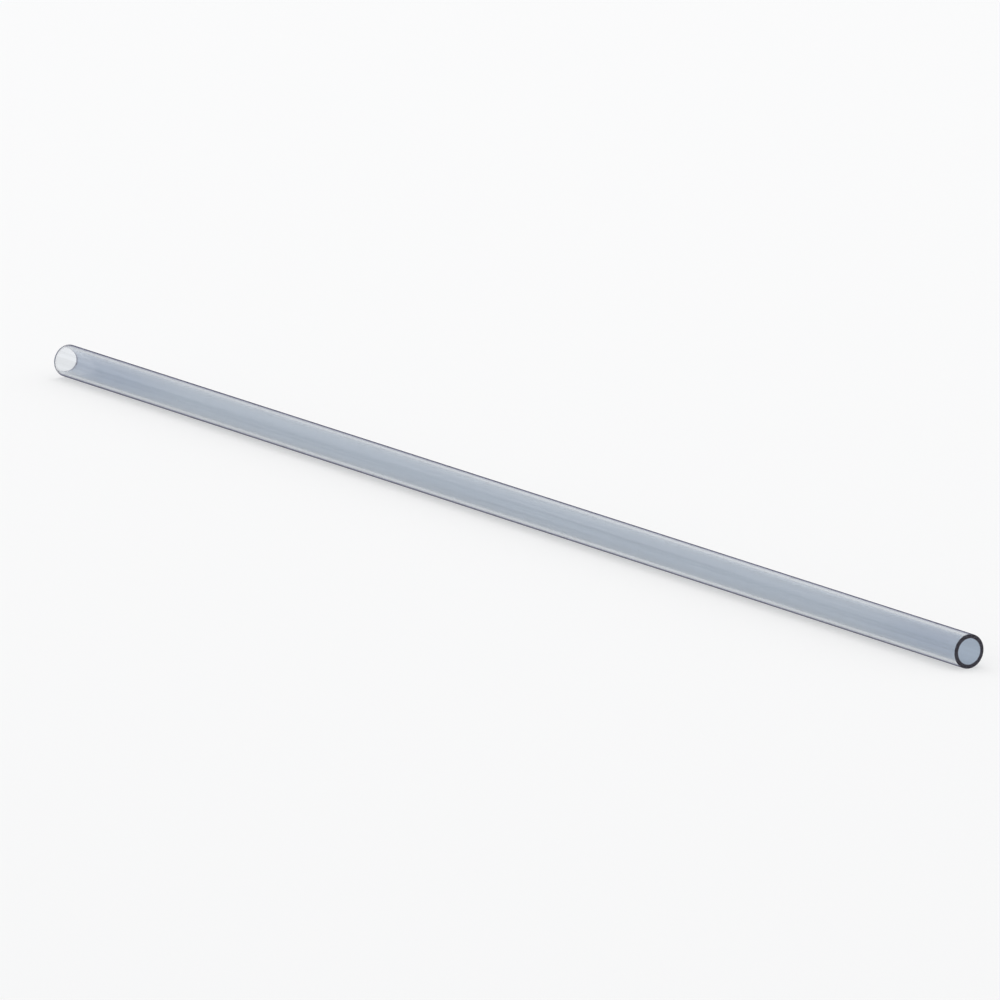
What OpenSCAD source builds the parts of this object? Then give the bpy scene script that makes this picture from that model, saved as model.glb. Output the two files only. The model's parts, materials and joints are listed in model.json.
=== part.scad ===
// Capillary tube of clear plastic: one straight length of thin-walled tubing, cut square at
// both ends, with the edges of the cuts softened. It is open from end to end.
//
// Millimetres, +Z up. The tube lies along X on the plane Z = 0, with the middle of its length
// above the origin, so the origin is on the line where it touches what it lies on.

/* [Tube] */
// Length from one cut end to the other
tube_length = 100; // [50:1:150]
// Outside diameter
outer_d = 2.05; // [1.2:0.05:3]
// Thickness of the wall
wall = 0.25; // [0.15:0.01:0.45]

/* [Cut ends] */
// Radius of the outer edge of each cut end
rim_r = 0.05; // [0.01:0.01:0.07]
// Radius of the edge at each mouth of the bore
mouth_r = 0.03; // [0.01:0.01:0.07]

/* [Hidden] */

// Radius of the bore, which runs the whole length
bore_r = outer_d / 2 - wall;
// How far a cut passes the faces that it trims
overcut = 0.1;
// Segments in the circle of the tube and in the circle of an edge
$fn = 96;
edge_fn = 32;

// What rounding to radius r takes off a square corner at the origin of a wall that fills
// the quarter where X and Y are positive.
module corner_relief(r) {
    difference() {
        translate([-overcut, -overcut])
            square(r + overcut);
        translate([r, r])
            circle(r, $fn = edge_fn);
    }
}

// The wall cut along the tube: the bore's axis is X = 0, and Y runs along the tube.
module wall_section() {
    difference() {
        translate([bore_r, -tube_length / 2])
            square([wall, tube_length]);
        for (end = [0, 1])
            mirror([0, end])
                translate([bore_r, -tube_length / 2]) {
                    corner_relief(mouth_r);
                    translate([wall, 0])
                        mirror([1, 0])
                            corner_relief(rim_r);
                }
    }
}

module tube() {
    color([0.66, 0.72, 0.78, 0.45])
        translate([0, 0, outer_d / 2])
            rotate([0, 90, 0])
                rotate_extrude()
                    wall_section();
}

tube();
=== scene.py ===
"""Clear plastic capillary tube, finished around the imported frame.

Metres, +Z up. The tube lies along X on the plane Z = 0, with the middle of its length above
the origin, in the same place as the CAD node that it stands for. It is one closed wall: its
outside, its bore, its two cut ends and the rounded edges between them.
"""

import json
import math

import bmesh
import bpy
from bpy.props import FloatProperty, FloatVectorProperty, IntProperty, PointerProperty
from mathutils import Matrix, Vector, noise


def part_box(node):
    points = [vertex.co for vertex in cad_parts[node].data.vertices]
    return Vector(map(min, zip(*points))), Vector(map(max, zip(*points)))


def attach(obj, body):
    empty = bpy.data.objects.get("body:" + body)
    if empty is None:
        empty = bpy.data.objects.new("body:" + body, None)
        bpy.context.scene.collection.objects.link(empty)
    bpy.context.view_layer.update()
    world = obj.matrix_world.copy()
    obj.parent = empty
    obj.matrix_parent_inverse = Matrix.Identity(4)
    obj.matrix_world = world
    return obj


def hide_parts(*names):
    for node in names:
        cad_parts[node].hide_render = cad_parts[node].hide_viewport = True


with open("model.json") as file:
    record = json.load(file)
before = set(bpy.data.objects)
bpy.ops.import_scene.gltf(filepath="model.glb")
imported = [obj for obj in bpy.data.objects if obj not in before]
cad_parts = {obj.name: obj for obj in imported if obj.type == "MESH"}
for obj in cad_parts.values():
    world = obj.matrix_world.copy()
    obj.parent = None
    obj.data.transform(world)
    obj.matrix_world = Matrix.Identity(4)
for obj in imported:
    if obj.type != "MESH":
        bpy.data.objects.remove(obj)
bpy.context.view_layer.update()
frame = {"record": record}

bl_info = {
    "name": "Capillary tube",
    "version": (1, 0, 0),
    "blender": (4, 5, 0),
    "location": "3D View > Sidebar > Capillary tube",
    "description": "Builds a clear plastic capillary tube and a plain studio around it",
    "category": "Add Mesh",
}

MM = 0.001
MOUNTS = {mount["name"]: mount for mount in frame["record"]["mounts"]}
LOW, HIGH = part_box("tube")
LENGTH = HIGH.x - LOW.x
AXIS_HEIGHT = MOUNTS["bore"]["pos_m"][2]
OUTER_R = MOUNTS["outer_wall"]["dims"]["r_mm"] * MM
BORE_R = MOUNTS["bore"]["dims"]["r_mm"] * MM
# The straight walls stop short of the cut ends by the radius of the edge there.
RIM_R = (LENGTH - MOUNTS["outer_wall"]["dims"]["length_mm"] * MM) / 2
MOUTH_R = (LENGTH - MOUNTS["bore"]["dims"]["length_mm"] * MM) / 2
# Two places closer than this are one.
SAME = 1e-7

# Faces across each rounded edge of a cut end.
EDGE_STEPS = 6
# How far behind the rounded edges the walls are cut again, to keep the rounding's shade there.
SUPPORT_LOOPS = (0.02 * MM, 0.2 * MM)
# How far in from its edges a cut face is outlined, to keep it flat.
CUT_FACE_MARGIN = 0.01 * MM
# A face belongs to a cut end if its normal lies this nearly along the tube.
SQUARE_ON = 0.9999
# Layers of the bore's ripple: detail round it, detail per metre along it, shift and share.
RIPPLE_LAYERS = (
    (1.3, 18, Vector((0, 0, 0)), 0.5),
    (4.1, 9, Vector((7, 3, 0)), 0.35),
    (11.0, 4, Vector((2, 9, 0)), 0.3),
)

CLEAR = (1.0, 1.0, 1.0)
DUST_COLOUR = (0.30, 0.30, 0.33)
# Tint of the die's darker and lighter lines, against the tint of the whole wall.
DARK_LINE, LIGHT_LINE = 0.92, 1.07
# Colour of the steps that the knife smears, against that of the cut face.
SMEARED = 2.2
DUST_ROUGHNESS = 0.5
CUT_ROUGHNESS = 0.22
BURR_ROUGHNESS = 0.45
# Heights of the marks in the surface, and how far a grain of dust stands above a scuff.
DIE_LINE_HEIGHT = 0.0006 * MM
SCUFF_HEIGHT = 0.001 * MM
KNIFE_MARK_HEIGHT = 0.004 * MM
DUST_OVER_SCUFF = 6.0

FLOOR_HALF_WIDTH = 4.0
# The floor's mottle is this much of its colour where it is darkest.
FLOOR_MOTTLE = 0.995
DAYLIGHT_COLOUR = (0.985, 0.99, 1.0, 1.0)
# The surroundings go from the horizon's brightness to the zenith's between these heights of a ray.
SKY_RISE = (0.15, 0.9)
SOFTBOX_PLACE = (-0.25, 0.15, 0.75)
SOFTBOX_SIZE = (0.7, 0.5)
CAMERA_RANGE = (0.01, 20.0)
# The way from the tube to the middle of the soft window that draws a sheen along it.
TO_WINDOW = Vector((-0.82, -0.13, 0.56)).normalized()


# ---------------------------------------------------------------- what a user may change


class CapillaryTubeSizes(bpy.types.PropertyGroup):
    """Sizes of the tube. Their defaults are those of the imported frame."""

    length: FloatProperty(
        name="Length",
        description="From one cut end to the other",
        default=LENGTH,
        min=0.05,
        max=0.15,
        unit="LENGTH",
        precision=5,
    )
    outer_r: FloatProperty(
        name="Outside radius",
        description="From the axis to the outside of the wall",
        default=OUTER_R,
        min=0.0006,
        max=0.0015,
        unit="LENGTH",
        precision=6,
    )
    bore_r: FloatProperty(
        name="Bore radius",
        description="From the axis to the inside of the wall",
        default=BORE_R,
        min=0.0002,
        max=0.0013,
        unit="LENGTH",
        precision=6,
    )
    rim_r: FloatProperty(
        name="Rim radius",
        description="Radius of the outer edge of each cut end",
        default=RIM_R,
        min=0.00001,
        max=0.0001,
        unit="LENGTH",
        precision=6,
    )
    mouth_r: FloatProperty(
        name="Mouth radius",
        description="Radius of the edge at each mouth of the bore",
        default=MOUTH_R,
        min=0.00001,
        max=0.0001,
        unit="LENGTH",
        precision=6,
    )
    # Painted shade: how far in from each cut end the bore's tint is darkened.
    mouth_shade_depth: FloatProperty(
        name="Mouth depth",
        description="How far in from each cut end the bore looks darker",
        default=16.0 * MM,
        min=0.5 * MM,
        max=40.0 * MM,
        unit="LENGTH",
        precision=5,
    )
    ripple: FloatProperty(
        name="Ripple of the bore",
        description="How far the bore's wall wanders from a true circle, as extruded",
        default=0.0015 * MM,
        min=0.0,
        max=0.02 * MM,
        unit="LENGTH",
        precision=6,
    )
    sides: IntProperty(
        name="Sides",
        description="Faces round the tube",
        default=160,
        min=48,
        max=256,
    )
    rings: IntProperty(
        name="Rings",
        description="Rings of faces along each wall",
        default=120,
        min=8,
        max=200,
    )


class CapillaryTubeFinish(bpy.types.PropertyGroup):
    """Colours and surface of the plastic."""

    tint: FloatVectorProperty(
        name="Tint",
        description="Colour that light takes on as it passes the outside of the wall",
        subtype="COLOR",
        size=3,
        min=0.0,
        max=1.0,
        default=(0.66, 0.70, 0.74),
    )
    bore_tint: FloatVectorProperty(
        name="Bore tint",
        description="Colour that light takes on as it passes from the bore into the wall",
        subtype="COLOR",
        size=3,
        min=0.0,
        max=1.0,
        default=(0.31, 0.37, 0.44),
    )
    depth_tint: FloatVectorProperty(
        name="Colour in depth",
        description="Colour that the plastic lets through best",
        subtype="COLOR",
        size=3,
        min=0.0,
        max=1.0,
        default=(0.58, 0.62, 0.68),
    )
    depth_density: FloatProperty(
        name="Density",
        description="How soon the colour deepens along a path through the plastic, per metre",
        default=150.0,
        min=0.0,
        max=5000.0,
    )
    # Painted shade: the cut ends get a dark colour in place of the light that a real wall leads
    # away along itself.
    cut: FloatVectorProperty(
        name="Cut face",
        description="Colour of the cut ends, where the wall is seen end on",
        subtype="COLOR",
        size=3,
        min=0.0,
        max=1.0,
        default=(0.026, 0.019, 0.044),
    )
    burr: FloatVectorProperty(
        name="Burr",
        description="Colour of the scores and the burr that the knife leaves on a cut end",
        subtype="COLOR",
        size=3,
        min=0.0,
        max=1.0,
        default=(0.66, 0.72, 0.82),
    )
    burr_cover: FloatProperty(
        name="Burr cover",
        description="How far the burr at the mouth hides the clear plastic under it",
        subtype="FACTOR",
        default=0.15,
        min=0.0,
        max=1.0,
    )
    score_cover: FloatProperty(
        name="Score cover",
        description="How far the knife's scores hide the clear plastic under them",
        subtype="FACTOR",
        default=0.07,
        min=0.0,
        max=1.0,
    )
    # Painted shade: the bore's tint is darker and bluer close to each cut end.
    painted_mouth_shade: FloatVectorProperty(
        name="Bore tint at the mouth",
        description="Bore tint close to each cut end, against that further in",
        subtype="COLOR",
        size=3,
        min=0.0,
        max=1.0,
        default=(0.73, 0.775, 0.87),
    )
    gloss: FloatProperty(
        name="Roughness",
        description="Roughness of the drawn walls",
        subtype="FACTOR",
        default=0.03,
        min=0.0,
        max=1.0,
    )
    scuff: FloatProperty(
        name="Scuff roughness",
        description="Roughness added where tubes have rubbed on each other",
        subtype="FACTOR",
        default=0.10,
        min=0.0,
        max=1.0,
    )
    glint: FloatVectorProperty(
        name="Glint",
        description="Colour of what the surface mirrors when it is seen square on",
        subtype="COLOR",
        size=3,
        min=0.0,
        max=1.0,
        default=(0.75, 0.70, 0.87),
    )
    # Painted shade: colour of a coat that darkens the wall's silhouette where it turns away from
    # the view.
    outline: FloatVectorProperty(
        name="Outline",
        description="Colour of the skin that darkens the wall where it turns away from the eye",
        subtype="COLOR",
        size=3,
        min=0.0,
        max=1.0,
        default=(0.77, 0.77, 0.82),
    )
    ior: FloatProperty(
        name="Refraction",
        description="Refractive index of the plastic",
        default=1.57,
        min=1.3,
        max=1.8,
    )


class CapillaryStudio(bpy.types.PropertyGroup):
    """The floor, the light and the camera."""

    floor: FloatVectorProperty(
        name="Floor",
        description="Colour of the floor",
        subtype="COLOR",
        size=3,
        min=0.0,
        max=1.0,
        default=(0.92, 0.92, 0.92),
    )
    glow: FloatProperty(
        name="Glow",
        description="How much of the floor's brightness is its own, so that shadows stay light",
        subtype="FACTOR",
        default=0.50,
        min=0.0,
        max=1.0,
    )
    glow_in_glass: FloatProperty(
        name="Glow in the glass",
        description="The same for the floor as the tube mirrors it and shows it through",
        subtype="FACTOR",
        default=0.80,
        min=0.0,
        max=1.0,
    )
    horizon: FloatProperty(
        name="Daylight low down",
        description="Brightness of the surroundings at the horizon",
        default=0.96,
        min=0.0,
        max=2.0,
    )
    zenith: FloatProperty(
        name="Daylight overhead",
        description="Brightness of the surroundings straight up",
        default=0.70,
        min=0.0,
        max=2.0,
    )
    softbox: FloatProperty(
        name="Softbox",
        description="Brightness of the wide softbox overhead",
        default=1.6,
        min=0.0,
        max=20.0,
    )
    window: FloatProperty(
        name="Window",
        description="Brightness that a wide, soft window adds to the daylight beyond the far end",
        default=0.46,
        min=0.0,
        max=5.0,
    )
    window_core: FloatProperty(
        name="Window core",
        description="How far from its middle the window is at its brightest, as an angle",
        subtype="ANGLE",
        unit="ROTATION",
        default=math.radians(4.0),
    )
    window_reach: FloatProperty(
        name="Window reach",
        description="How far from its middle the window has faded to nothing, as an angle",
        subtype="ANGLE",
        unit="ROTATION",
        default=math.radians(32.0),
    )
    azimuth: FloatProperty(
        name="Camera azimuth",
        description="Turn of the camera round the tube, from the side where Y is negative",
        subtype="ANGLE",
        unit="ROTATION",
        default=math.radians(57.0),
    )
    elevation: FloatProperty(
        name="Camera elevation",
        description="Height of the camera above the floor, as an angle",
        subtype="ANGLE",
        unit="ROTATION",
        default=math.radians(12.1),
    )
    distance: FloatProperty(
        name="Camera distance",
        description="From the camera to the middle of the tube",
        unit="LENGTH",
        default=1.0,
        min=0.3,
        max=3.0,
    )
    across: FloatProperty(
        name="Width in view",
        description="Width that the picture takes in at the tube",
        unit="LENGTH",
        default=0.0605,
        min=0.01,
        max=0.5,
    )


# ---------------------------------------------------------------- the tube's wall


def draw_section(mesh, sizes):
    """Draws the upper wall, cut along the tube, as a closed outline in the plane Y = 0."""
    end = sizes.length / 2
    corners = [
        mesh.verts.new((x, 0, AXIS_HEIGHT + r))
        for x, r in (
            (-end, sizes.outer_r),
            (end, sizes.outer_r),
            (end, sizes.bore_r),
            (-end, sizes.bore_r),
        )
    ]
    edges = [mesh.edges.new(pair) for pair in zip(corners, corners[1:] + corners[:1])]
    bmesh.ops.subdivide_edges(mesh, edges=edges[0::2], cuts=sizes.rings)


def off_axis(vert):
    """How far a vertex lies from the tube's axis."""
    return math.hypot(vert.co.y, vert.co.z - AXIS_HEIGHT)


def limit(value):
    """A value kept from 0 to 1."""
    return min(max(value, 0.0), 1.0)


def depth_in_wall(vert, sizes):
    """How deep a vertex lies in the wall, from 0 on the outside to 1 on the bore."""
    return limit((sizes.outer_r - off_axis(vert)) / (sizes.outer_r - sizes.bore_r))


def end_ring(mesh, sizes, radius):
    """The edges of both rings of a radius where the square-cut ends meet a wall."""

    def on_ring(vert):
        at_end = abs(abs(vert.co.x) - sizes.length / 2) < SAME
        return at_end and abs(off_axis(vert) - radius) < SAME

    return [e for e in mesh.edges if all(on_ring(v) for v in e.verts)]


def round_ring(mesh, sizes, radius, edge_radius):
    """Rounds both end rings of a radius."""
    bmesh.ops.bevel(
        mesh,
        geom=end_ring(mesh, sizes, radius),
        offset=edge_radius,
        offset_type="OFFSET",
        affect="EDGES",
        segments=EDGE_STEPS,
        profile=0.5,
        material=-1,
    )


def add_support_loops(mesh, sizes):
    """Cuts the walls behind each rounded edge and insets the cut faces, so that all shade flat."""
    for side in (-1, 1):
        for behind in SUPPORT_LOOPS:
            bmesh.ops.bisect_plane(
                mesh,
                geom=mesh.verts[:] + mesh.edges[:] + mesh.faces[:],
                dist=SAME,
                plane_co=(side * (sizes.length / 2 - sizes.rim_r - behind), 0, 0),
                plane_no=(1, 0, 0),
            )
        cut_face = [f for f in mesh.faces if f.normal.x * side > SQUARE_ON]
        bmesh.ops.inset_region(mesh, faces=cut_face, thickness=CUT_FACE_MARGIN, depth=0)


def wander(angle, x):
    """How the die and the draw move the wall at a place round and along it, about -1 to 1."""
    round_it = Vector((math.cos(angle), math.sin(angle), 0))
    return sum(
        share * noise.noise(round_it * detail + shift + Vector((0, 0, x * along)))
        for detail, along, shift, share in RIPPLE_LAYERS
    )


def ripple_bore(mesh, sizes):
    """Moves the bore's wall in and out a little, fading to nothing at the outside."""
    for vert in mesh.verts:
        out = Vector((0, vert.co.y, vert.co.z - AXIS_HEIGHT)).normalized()
        angle = math.atan2(out.z, out.y)
        vert.co += out * (sizes.ripple * depth_in_wall(vert, sizes) * wander(angle, vert.co.x))


def mark_surfaces(mesh, sizes):
    """Stores from 0 to 1 how far each vertex is on a cut end, in the bore and in the painted shade
    near a mouth.
    """
    cut = mesh.verts.layers.float.new("cut_end")
    bore = mesh.verts.layers.float.new("bore_wall")
    near = mesh.verts.layers.float.new("painted_mouth_shade")
    for vert in mesh.verts:
        inward = sizes.length / 2 - abs(vert.co.x)
        depth = depth_in_wall(vert, sizes)
        edge = sizes.rim_r if depth < 0.5 else sizes.mouth_r
        vert[cut] = limit(1.0 - inward / edge)
        vert[bore] = depth
        vert[near] = limit(1.0 - inward / sizes.mouth_shade_depth)


def build_wall(sizes):
    """The tube as one closed mesh."""
    mesh = bmesh.new()
    draw_section(mesh, sizes)
    bmesh.ops.spin(
        mesh,
        geom=mesh.verts[:] + mesh.edges[:],
        cent=(0, 0, AXIS_HEIGHT),
        axis=(1, 0, 0),
        angle=math.tau,
        steps=sizes.sides,
        use_merge=True,
    )
    bmesh.ops.remove_doubles(mesh, verts=mesh.verts, dist=SAME)
    bmesh.ops.recalc_face_normals(mesh, faces=mesh.faces)
    round_ring(mesh, sizes, sizes.outer_r, sizes.rim_r)
    round_ring(mesh, sizes, sizes.bore_r, sizes.mouth_r)
    mesh.normal_update()
    add_support_loops(mesh, sizes)
    bmesh.ops.remove_doubles(mesh, verts=mesh.verts, dist=SAME)
    mark_surfaces(mesh, sizes)
    ripple_bore(mesh, sizes)
    bmesh.ops.recalc_face_normals(mesh, faces=mesh.faces)
    for face in mesh.faces:
        face.smooth = True
    return mesh


def new_piece(name, mesh, material):
    """A scene object from a bmesh, with its place in its mesh."""
    data = bpy.data.meshes.new(name)
    mesh.to_mesh(data)
    mesh.free()
    data.materials.append(material)
    piece = bpy.data.objects.new(name, data)
    bpy.context.scene.collection.objects.link(piece)
    return piece


# ---------------------------------------------------------------- materials


def new_material(name):
    """An empty node material, its tree and its output node."""
    material = bpy.data.materials.new(name)
    material.use_nodes = True
    tree = material.node_tree
    tree.nodes.clear()
    return material, tree, add(tree, "ShaderNodeOutputMaterial")


def add(tree, kind, settings=None, **inputs):
    """A node with its settings and its inputs, each input a value or a socket that feeds it."""
    node = tree.nodes.new(kind)
    for key, value in (settings or {}).items():
        setattr(node, key, value)
    for key, value in inputs.items():
        socket = node.inputs[key.replace("_", " ")]
        if isinstance(value, bpy.types.NodeSocket):
            tree.links.new(value, socket)
        else:
            socket.default_value = value
    return node


def maths(tree, operation, first, second=0.0, clamp=False):
    """The result of a Math node on values or sockets."""
    node = tree.nodes.new("ShaderNodeMath")
    node.operation, node.use_clamp = operation, clamp
    for socket, value in zip(node.inputs, (first, second)):
        if isinstance(value, bpy.types.NodeSocket):
            tree.links.new(value, socket)
        else:
            socket.default_value = value
    return node.outputs[0]


def between(tree, value, low, high, to_low=0.0, to_high=1.0):
    """A value's place from low to high, smoothly, as a value from to_low to to_high."""
    node = tree.nodes.new("ShaderNodeMapRange")
    node.interpolation_type = "SMOOTHSTEP"
    tree.links.new(value, node.inputs["Value"])
    for socket, number in zip(
        ("From Min", "From Max", "To Min", "To Max"), (low, high, to_low, to_high)
    ):
        node.inputs[socket].default_value = number
    return node.outputs["Result"]


def shaded(colour, share):
    """A colour made darker or lighter by a share, and no lighter than white."""
    return [limit(channel * share) for channel in colour]


def blend(tree, factor, first, second):
    """A colour between two, by a factor from 0 to 1."""
    node = tree.nodes.new("ShaderNodeMix")
    node.data_type = "RGBA"
    colours = [s for s in node.inputs if s.type == "RGBA"]
    tree.links.new(factor, node.inputs["Factor"])
    for socket, value in zip(colours, (first, second)):
        if isinstance(value, bpy.types.NodeSocket):
            tree.links.new(value, socket)
        else:
            socket.default_value = (*value, 1.0)
    return next(s for s in node.outputs if s.type == "RGBA")


def mix_shaders(tree, factor, first, second):
    """A blend of two shaders, by a factor from 0 to 1."""
    node = tree.nodes.new("ShaderNodeMixShader")
    for socket, source in zip(node.inputs, (factor, first, second)):
        tree.links.new(source, socket)
    return node.outputs[0]


def pattern(tree, place, scale, detail=2.0, location=(0, 0, 0)):
    """Noise from 0 to 1 with its own scale on each axis, in features per metre."""
    mapping = add(tree, "ShaderNodeMapping", Vector=place, Scale=scale, Location=location)
    cloud = add(
        tree,
        "ShaderNodeTexNoise",
        Vector=mapping.outputs["Vector"],
        Scale=1.0,
        Detail=detail,
        Roughness=0.55,
    )
    return cloud.outputs["Fac"]


def surface_marks_group():
    """Marks of making and handling on drawn plastic, as a group: die lines, scuffs and dust."""
    tree = bpy.data.node_groups.new("drawn_plastic_marks", "ShaderNodeTree")
    tree.interface.new_socket("Place", in_out="INPUT", socket_type="NodeSocketVector")
    for name in ("Lines", "Scuffs", "Dust"):
        tree.interface.new_socket(name, in_out="OUTPUT", socket_type="NodeSocketFloat")
    place = tree.nodes.new("NodeGroupInput").outputs["Place"]
    out = tree.nodes.new("NodeGroupOutput")
    # The die's lines run the length of the tube, and change only slowly along it.
    coarse = pattern(tree, place, (25, 4200, 4200), detail=1.0)
    fine = pattern(tree, place, (60, 12000, 12000), detail=1.0, location=(3, 1, 2))
    coarse = maths(tree, "MULTIPLY", coarse, 0.7)
    fine = maths(tree, "MULTIPLY", fine, 0.3)
    lines = maths(tree, "ADD", coarse, fine)
    # Scuffs are short rubs along the tube, in patches.
    rubs = pattern(tree, place, (220, 14000, 14000), location=(5, 8, 1))
    rubs = between(tree, rubs, 0.60, 0.72)
    patches = pattern(tree, place, (160, 900, 900), location=(1, 6, 4))
    patches = between(tree, patches, 0.48, 0.62)
    # Dust is fine grains that cling here and there.
    grains = add(tree, "ShaderNodeTexVoronoi", Vector=place, Scale=2600.0)
    specks = between(tree, grains.outputs["Distance"], 0.05, 0.11, 1.0, 0.0)
    few = pattern(tree, place, (420, 700, 700), location=(9, 2, 7))
    few = between(tree, few, 0.60, 0.64)
    tree.links.new(lines, out.inputs["Lines"])
    tree.links.new(maths(tree, "MULTIPLY", rubs, patches), out.inputs["Scuffs"])
    tree.links.new(maths(tree, "MULTIPLY", specks, few), out.inputs["Dust"])
    return tree


def knife_marks(tree, place):
    """Height of the fine steps that the knife leaves across a cut end."""
    steps = pattern(tree, place, (0, 1500, 46000), detail=3.0)
    chatter = pattern(tree, place, (0, 21000, 5000), detail=1.0, location=(4, 4, 4))
    return maths(tree, "ADD", steps, maths(tree, "MULTIPLY", chatter, 0.12))


def mask(tree, name):
    """How far the surface belongs to a place that the mesh marks, from 0 to 1."""
    return add(tree, "ShaderNodeAttribute", {"attribute_name": name}).outputs["Fac"]


def raised(tree, height, distance, strength, **below):
    """The normal of a surface with a height on it, over the normal below if there is one."""
    bump = add(
        tree, "ShaderNodeBump", Height=height, Distance=distance, Strength=strength, **below
    )
    return bump.outputs["Normal"]


def wall_colour(tree, finish, lines, dust, outside):
    """Tint of the outside, streaked and dusty, and of the bore, with painted shade near a mouth.
    """
    dark, light = shaded(finish.tint, DARK_LINE), shaded(finish.tint, LIGHT_LINE)
    streaked = blend(tree, between(tree, lines, 0.35, 0.65), dark, light)
    dusty = blend(tree, dust, streaked, DUST_COLOUR)
    # Painted shade: the bore's tint darkens over the last stretch before each mouth.
    painted_mouth_shade = between(tree, mask(tree, "painted_mouth_shade"), 0.1, 0.7)
    mouth_shaded_bore = [c * n for c, n in zip(finish.bore_tint, finish.painted_mouth_shade)]
    inward = blend(tree, painted_mouth_shade, finish.bore_tint, mouth_shaded_bore)
    # Light takes on the bore's tint once, as it enters the wall, and none as it leaves it.
    behind = add(tree, "ShaderNodeNewGeometry").outputs["Backfacing"]
    inside = blend(tree, behind, inward, CLEAR)
    return blend(tree, outside, inside, dusty)


def dullness(tree, finish, scuffs, dust, on_cut):
    """Roughness: glossy where clean, and duller in scuffs, dust and the cut ends."""
    rough = maths(tree, "ADD", maths(tree, "MULTIPLY", scuffs, finish.scuff), finish.gloss)
    rough = maths(tree, "ADD", rough, maths(tree, "MULTIPLY", dust, DUST_ROUGHNESS))
    cut = maths(tree, "MULTIPLY", on_cut, CUT_ROUGHNESS)
    return maths(tree, "ADD", rough, cut, clamp=True)


def clear_plastic(finish):
    """Clear drawn plastic with a blue-grey tint, duller on the cut ends and darker there by
    painted shade.
    """
    material, tree, out = new_material("clear_plastic")
    place = add(tree, "ShaderNodeTexCoord").outputs["Object"]
    cut, bore = mask(tree, "cut_end"), mask(tree, "bore_wall")
    on_wall = between(tree, cut, 0.0, 0.3, 1.0, 0.0)
    on_cut = between(tree, cut, 0.05, 0.4)
    outside = between(tree, bore, 0.2, 0.6, 1.0, 0.0)
    handled = maths(tree, "MULTIPLY", on_wall, outside)
    marks = add(tree, "ShaderNodeGroup", {"node_tree": surface_marks_group()}, Place=place)
    lines = marks.outputs["Lines"]
    scuffs = maths(tree, "MULTIPLY", marks.outputs["Scuffs"], handled)
    dust = maths(tree, "MULTIPLY", marks.outputs["Dust"], handled)
    knife = knife_marks(tree, place)

    walls = wall_colour(tree, finish, lines, dust, outside)
    # Painted shade on the cut ends, a little lighter on the knife's steps.
    stepped = between(tree, knife, 0.4, 0.7)
    painted_cut_shade = blend(tree, stepped, finish.cut, shaded(finish.cut, SMEARED))

    drawn = raised(tree, lines, DIE_LINE_HEIGHT, maths(tree, "MULTIPLY", on_wall, 0.6))
    handling = maths(tree, "ADD", scuffs, maths(tree, "MULTIPLY", dust, DUST_OVER_SCUFF))
    rubbed = raised(tree, handling, SCUFF_HEIGHT, 0.5, Normal=drawn)
    normal = raised(tree, knife, KNIFE_MARK_HEIGHT, on_cut, Normal=rubbed)

    # Painted shade: a thin coat with no reflection of its own darkens the wall where it turns
    # away, as a dark outline.
    turned = add(tree, "ShaderNodeLayerWeight", Blend=0.5).outputs["Facing"]
    edge = maths(tree, "MULTIPLY", between(tree, turned, 0.66, 0.86), handled)
    plastic = add(
        tree,
        "ShaderNodeBsdfPrincipled",
        Base_Color=blend(tree, on_cut, walls, painted_cut_shade),
        Roughness=dullness(tree, finish, scuffs, dust, on_cut),
        IOR=finish.ior,
        Transmission_Weight=1.0,
        Specular_Tint=(*finish.glint, 1.0),
        Coat_Weight=edge,
        Coat_IOR=1.0,
        Coat_Tint=(*finish.outline, 1.0),
        Normal=normal,
    )
    # The knife scores a cut end, and raises a fine burr round the mouth, both pale and matt.
    torn = add(
        tree,
        "ShaderNodeBsdfPrincipled",
        Base_Color=(*finish.burr, 1.0),
        Roughness=BURR_ROUGHNESS,
        IOR=finish.ior,
        Normal=normal,
    )
    scores = maths(tree, "MULTIPLY", between(tree, knife, 0.50, 0.80), finish.score_cover)
    burr = maths(tree, "MULTIPLY", between(tree, bore, 0.88, 0.96), finish.burr_cover)
    pale = maths(tree, "MULTIPLY", maths(tree, "MAXIMUM", scores, burr), on_cut)
    surface = mix_shaders(tree, pale, plastic.outputs["BSDF"], torn.outputs["BSDF"])
    depth = add(
        tree,
        "ShaderNodeVolumeAbsorption",
        Color=(*finish.depth_tint, 1.0),
        Density=finish.depth_density,
    )
    tree.links.new(surface, out.inputs["Surface"])
    tree.links.new(depth.outputs["Volume"], out.inputs["Volume"])
    return material


def pale_floor(studio):
    """Plain matt floor with the faintest mottle."""
    material, tree, out = new_material("pale_floor")
    place = add(tree, "ShaderNodeTexCoord").outputs["Object"]
    mottle = pattern(tree, place, (60, 60, 60), detail=3.0)
    colour = blend(tree, mottle, shaded(studio.floor, FLOOR_MOTTLE), studio.floor)
    matt = add(
        tree,
        "ShaderNodeBsdfPrincipled",
        Base_Color=colour,
        Roughness=0.9,
        Specular_IOR_Level=0.1,
    )
    glow = add(tree, "ShaderNodeEmission", Strength=studio.horizon)
    path = add(tree, "ShaderNodeLightPath")
    seen = maths(tree, "MULTIPLY", path.outputs["Is Camera Ray"], studio.glow)
    glass = maths(
        tree, "MAXIMUM", path.outputs["Is Glossy Ray"], path.outputs["Is Transmission Ray"]
    )
    glass = maths(tree, "MULTIPLY", glass, studio.glow_in_glass)
    pale = maths(tree, "MAXIMUM", seen, glass)
    surface = mix_shaders(tree, pale, matt.outputs["BSDF"], glow.outputs["Emission"])
    tree.links.new(surface, out.inputs["Surface"])
    return material


# ---------------------------------------------------------------- floor, light and camera


def build_floor(studio):
    """A wide plane just under the tube."""
    mesh = bmesh.new()
    bmesh.ops.create_grid(mesh, x_segments=1, y_segments=1, size=FLOOR_HALF_WIDTH)
    floor = new_piece("floor", mesh, pale_floor(studio))


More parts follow.
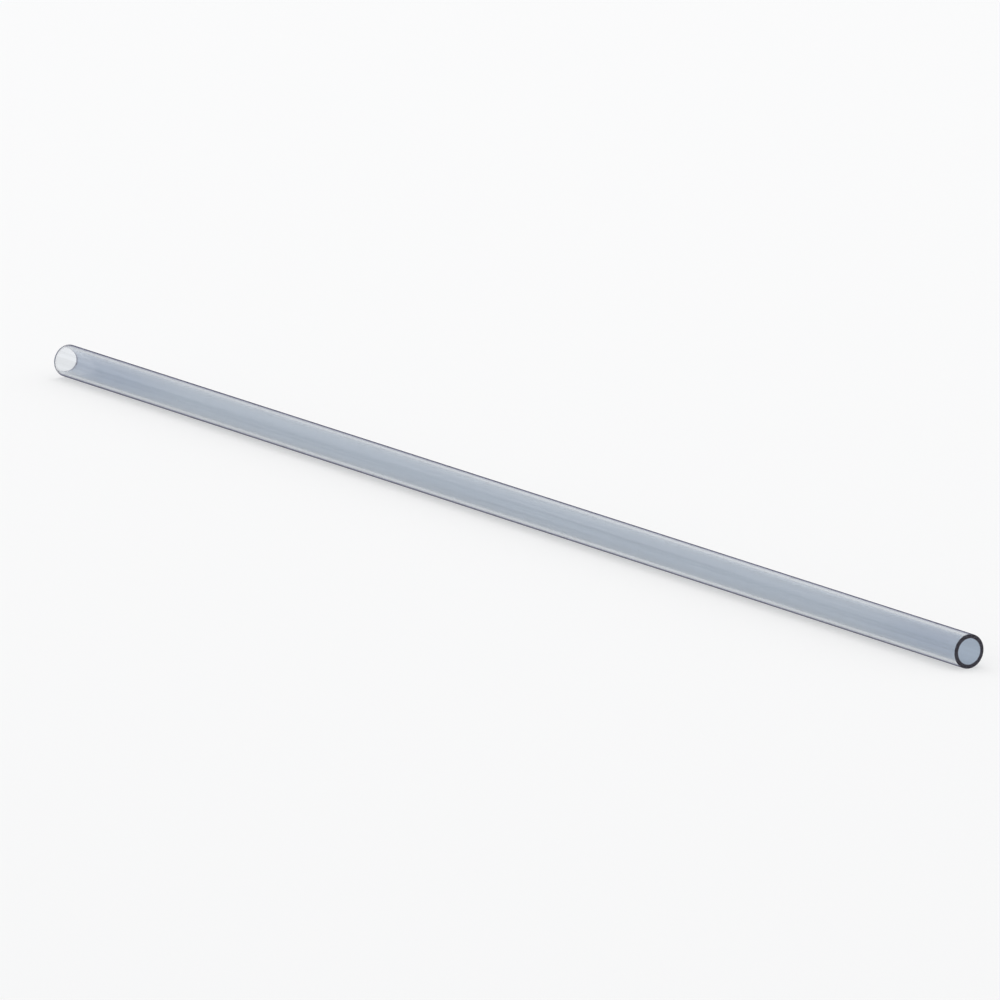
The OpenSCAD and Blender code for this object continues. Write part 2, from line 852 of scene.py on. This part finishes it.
def build_daylight(studio):
    """Pale surroundings, brightest at the horizon and in one soft window."""
    world = bpy.data.worlds.new("daylight")
    bpy.context.scene.world = world
    world.use_nodes = True
    tree = world.node_tree
    tree.nodes.clear()
    ray = add(tree, "ShaderNodeTexCoord").outputs["Generated"]
    height = add(tree, "ShaderNodeSeparateXYZ", Vector=ray).outputs["Z"]
    open_sky = between(tree, height, *SKY_RISE, studio.horizon, studio.zenith)
    toward = add(tree, "ShaderNodeVectorMath", {"operation": "DOT_PRODUCT"})
    tree.links.new(ray, toward.inputs[0])
    toward.inputs[1].default_value = TO_WINDOW
    window = between(
        tree,
        toward.outputs["Value"],
        math.cos(studio.window_reach),
        math.cos(studio.window_core),
        to_high=studio.window,
    )
    level = maths(tree, "ADD", open_sky, window)
    sky = add(tree, "ShaderNodeBackground", Color=DAYLIGHT_COLOUR, Strength=level)
    out = add(tree, "ShaderNodeOutputWorld")
    tree.links.new(sky.outputs["Background"], out.inputs["Surface"])


def add_softbox(brightness):
    """A rectangular lamp above the tube that faces its middle, as bright as asked."""
    lamp = bpy.data.lights.new("softbox_overhead", "AREA")
    lamp.shape = "RECTANGLE"
    lamp.size, lamp.size_y = SOFTBOX_SIZE
    lamp.energy = brightness * math.pi * math.prod(SOFTBOX_SIZE)
    holder = bpy.data.objects.new("softbox_overhead", lamp)
    holder.location = SOFTBOX_PLACE
    aim = Vector((0, 0, AXIS_HEIGHT)) - holder.location
    holder.rotation_euler = aim.to_track_quat("-Z", "Y").to_euler()
    bpy.context.scene.collection.objects.link(holder)


def build_camera(studio):
    """A long lens, above and off the +X end of the tube."""
    azimuth, elevation = studio.azimuth, studio.elevation
    back = Vector(
        (
            math.sin(azimuth) * math.cos(elevation),
            -math.cos(azimuth) * math.cos(elevation),
            math.sin(elevation),
        )
    )
    data = bpy.data.cameras.new("camera")
    data.lens = data.sensor_width * studio.distance / studio.across
    data.clip_start, data.clip_end = CAMERA_RANGE
    camera = bpy.data.objects.new("camera", data)
    camera.location = Vector((0, 0, AXIS_HEIGHT)) + back * studio.distance
    camera.rotation_euler = (-back).to_track_quat("-Z", "Y").to_euler()
    bpy.context.scene.collection.objects.link(camera)
    bpy.context.scene.camera = camera


# ---------------------------------------------------------------- operators and panel


class OBJECT_OT_capillary_tube(bpy.types.Operator):
    """Build the tube's wall with its cut ends, and give it its plastic"""

    bl_idname = "object.capillary_tube"
    bl_label = "Build tube"

    def execute(self, context):
        sizes = context.scene.capillary_tube_sizes
        if sizes.bore_r >= sizes.outer_r:
            raise ValueError("the bore is wider than the tube")
        material = clear_plastic(context.scene.capillary_tube_finish)
        tube = new_piece("capillary_tube", build_wall(sizes), material)
        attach(tube, "root")
        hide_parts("tube")
        return {"FINISHED"}


class SCENE_OT_capillary_studio(bpy.types.Operator):
    """Build the camera, the floor and the light"""

    bl_idname = "scene.capillary_studio"
    bl_label = "Build studio"

    def execute(self, context):
        studio = context.scene.capillary_studio
        build_camera(studio)
        build_floor(studio)
        build_daylight(studio)
        add_softbox(studio.softbox)
        context.scene.view_settings.view_transform = "Standard"
        return {"FINISHED"}


class VIEW3D_PT_capillary_tube(bpy.types.Panel):
    """Sizes, finish and studio of the capillary tube"""

    bl_label = "Capillary tube"
    bl_space_type = "VIEW_3D"
    bl_region_type = "UI"
    bl_category = "Capillary tube"

    def draw(self, context):
        for title, group, operator in (
            ("Sizes", context.scene.capillary_tube_sizes, None),
            ("Plastic", context.scene.capillary_tube_finish, OBJECT_OT_capillary_tube),
            ("Studio", context.scene.capillary_studio, SCENE_OT_capillary_studio),
        ):
            box = self.layout.box()
            box.label(text=title)
            for name in group.__annotations__:
                box.prop(group, name)
            if operator:
                box.operator(operator.bl_idname)


CLASSES = (
    CapillaryTubeSizes,
    CapillaryTubeFinish,
    CapillaryStudio,
    OBJECT_OT_capillary_tube,
    SCENE_OT_capillary_studio,
    VIEW3D_PT_capillary_tube,
)


def register():
    for cls in CLASSES:
        bpy.utils.register_class(cls)
    scene = bpy.types.Scene
    scene.capillary_tube_sizes = PointerProperty(type=CapillaryTubeSizes)
    scene.capillary_tube_finish = PointerProperty(type=CapillaryTubeFinish)
    scene.capillary_studio = PointerProperty(type=CapillaryStudio)


def unregister():
    scene = bpy.types.Scene
    del scene.capillary_studio
    del scene.capillary_tube_finish
    del scene.capillary_tube_sizes
    for cls in reversed(CLASSES):
        bpy.utils.unregister_class(cls)


def main():
    register()
    bpy.ops.scene.capillary_studio()
    bpy.ops.object.capillary_tube()


if __name__ == "__main__":
    main()
